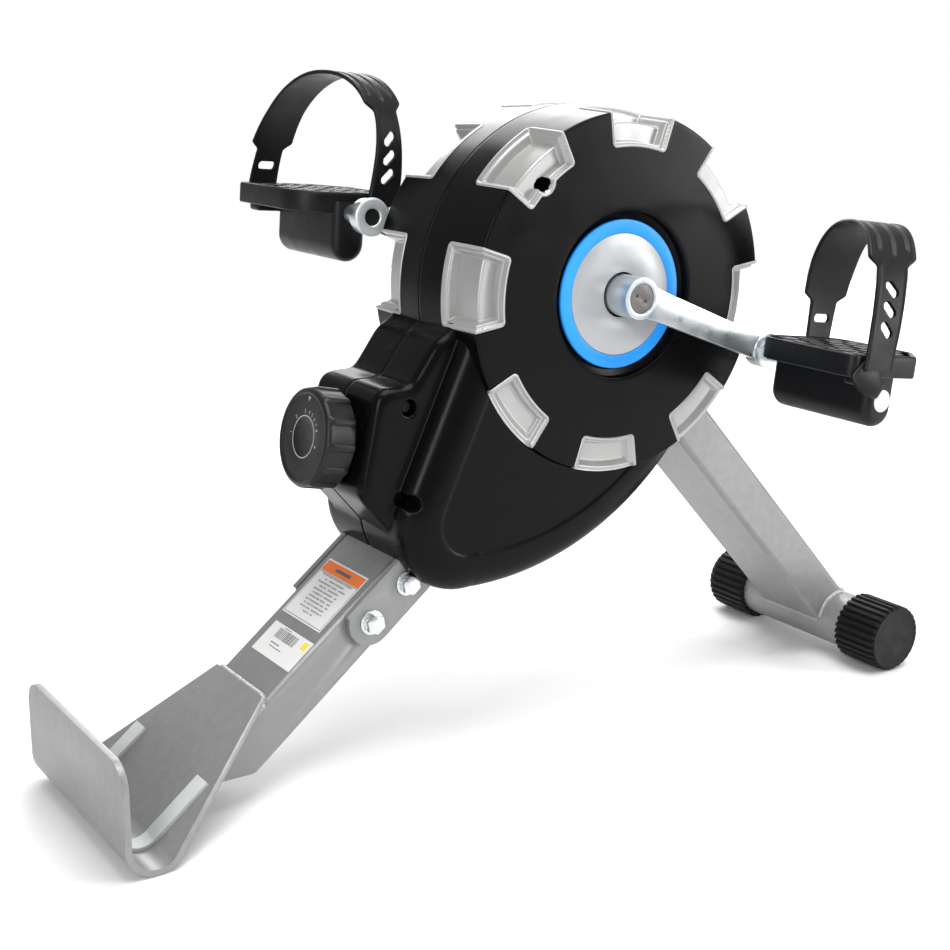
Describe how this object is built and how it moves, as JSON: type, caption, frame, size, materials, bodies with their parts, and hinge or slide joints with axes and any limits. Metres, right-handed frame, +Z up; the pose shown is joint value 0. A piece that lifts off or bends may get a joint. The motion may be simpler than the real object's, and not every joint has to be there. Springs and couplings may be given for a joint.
{
  "type": "pedal exerciser",
  "caption": "Free-standing pedal exerciser with cranks and strap pedals on a drum housing, a belt-driven magnetic brake, a tension knob and a hooked front leg.",
  "frame": {"origin": "on the floor, midway between the hook's lip and the end caps along X and on the covers' seam plane along Y", "axes": "+X is the rider's forward direction, from the hook to the stabiliser; +Y is the rider's left, along the crank axle; +Z is up"},
  "size_m": [0.7918, 0.4828, 0.5476],
  "materials": {
    "frame_paint": "silver-grey satin paint with a fine metallic grain",
    "end_cap_rubber": "moulded black rubber, fluted",
    "grip_strip": "grey self-adhesive grip strip",
    "zinc_fastener": "bright zinc plate",
    "cover_plastic": "black moulded plastic, semi-gloss",
    "inset_silver": "silver-painted plastic",
    "trim_blue": "sky blue moulded plastic",
    "disc_silver": "silver-painted plastic",
    "black_screw": "blackened steel",
    "bearing_steel": "ground steel",
    "shaft_steel": "turned steel",
    "crank_zinc": "satin zinc plate",
    "cap_grey": "dark grey plastic",
    "pulley_plastic": "black moulded plastic",
    "belt_rubber": "black rubber",
    "cast_flywheel": "turned cast iron",
    "bracket_steel": "plated steel sheet",
    "magnet": "nickel-plated magnet",
    "knob_plastic": "black moulded plastic, satin",
    "pedal_plastic": "black moulded plastic, satin",
    "strap_rubber": "black moulded rubber",
    "label_white": null
  },
  "bodies": {
    "frame": {"rear_leg": "frame_paint", "right_side_plate": "frame_paint", "left_side_plate": "frame_paint", "crank_housing": "frame_paint", "stabiliser_tube": "frame_paint", "right_end_cap": "end_cap_rubber", "left_end_cap": "end_cap_rubber", "front_leg": "frame_paint", "hook_plate": "frame_paint", "hook_strips": "grip_strip", "leg_bolts": "zinc_fastener", "leg_washers": "zinc_fastener", "leg_nuts": "zinc_fastener", "right_cover": "cover_plastic", "left_cover": "cover_plastic", "right_inset_panels": "inset_silver", "left_inset_panels": "inset_silver", "right_trim_ring": "trim_blue", "left_trim_ring": "trim_blue", "right_hub_disc": "disc_silver", "left_hub_disc": "disc_silver", "cover_screws": "black_screw", "right_crank_bearing": "bearing_steel", "left_crank_bearing": "bearing_steel", "drive_belt": "belt_rubber", "flywheel_bearings": "bearing_steel", "idler_arm": "bracket_steel", "idler_bolt": "shaft_steel", "bracket_pin": "shaft_steel", "bracket_spring": "shaft_steel", "tension_cable": "belt_rubber", "knob_collar": "cover_plastic", "leg_labels": "label_white"},
    "crank": {"crank_axle": "shaft_steel", "right_crank_arm": "crank_zinc", "left_crank_arm": "crank_zinc", "crank_bolts": "crank_zinc", "right_dust_cap": "cap_grey", "left_dust_cap": "cap_grey", "drive_pulley": "pulley_plastic", "right_pedal_spindle": "crank_zinc", "left_pedal_spindle": "crank_zinc"},
    "right_pedal": {"right_pedal_platform": "pedal_plastic", "right_pedal_block": "pedal_plastic", "pedal_weight_right": "cast_flywheel", "right_foot_strap": "strap_rubber"},
    "left_pedal": {"left_pedal_platform": "pedal_plastic", "left_pedal_block": "pedal_plastic", "pedal_weight_left": "cast_flywheel", "left_foot_strap": "strap_rubber"},
    "flywheel": {"flywheel": "cast_flywheel", "flywheel_axle": "shaft_steel", "flywheel_pulley": "pulley_plastic"},
    "idler": {"idler_pulley": "pulley_plastic"},
    "brake": {"magnet_bracket": "bracket_steel", "brake_magnets": "magnet"},
    "knob": {"tension_knob": "knob_plastic", "knob_spindle": "shaft_steel"}
  },
  "joints": [
    {"name": "crank_spin", "type": "hinge", "parent": "frame", "child": "crank", "pos_m": [0.05137, 0, 0.3765], "axis": [0, 1, 0], "continuous": true},
    {"name": "right_pedal_spin", "type": "hinge", "parent": "crank", "child": "right_pedal", "pos_m": [0.19056, -0.173, 0.32195], "axis": [0, 1, 0], "continuous": true},
    {"name": "left_pedal_spin", "type": "hinge", "parent": "crank", "child": "left_pedal", "pos_m": [-0.08783, 0.173, 0.43105], "axis": [0, 1, 0], "continuous": true},
    {"name": "flywheel_spin", "type": "hinge", "parent": "frame", "child": "flywheel", "pos_m": [-0.04863, 0, 0.24], "axis": [0, 1, 0], "continuous": true},
    {"name": "idler_spin", "type": "hinge", "parent": "frame", "child": "idler", "pos_m": [0.03425, -0.053, 0.24884], "axis": [0, 1, 0], "continuous": true},
    {"name": "knob_turn", "type": "hinge", "parent": "frame", "child": "knob", "pos_m": [-0.20163, 0, 0.277], "axis": [-0.9781, 0, 0.2079], "range_deg": [0, 270]},
    {"name": "brake_swing", "type": "hinge", "parent": "frame", "child": "brake", "pos_m": [-0.09863, 0, 0.312], "axis": [0, 1, 0], "range_deg": [0, 8]}
  ],
  "couplings": [
    {"joint": "flywheel_spin", "follows": "crank_spin", "ratio": 6.0714},
    {"joint": "idler_spin", "follows": "crank_spin", "ratio": -5.3125},
    {"joint": "brake_swing", "follows": "knob_turn", "ratio": 0.0296}
  ]
}
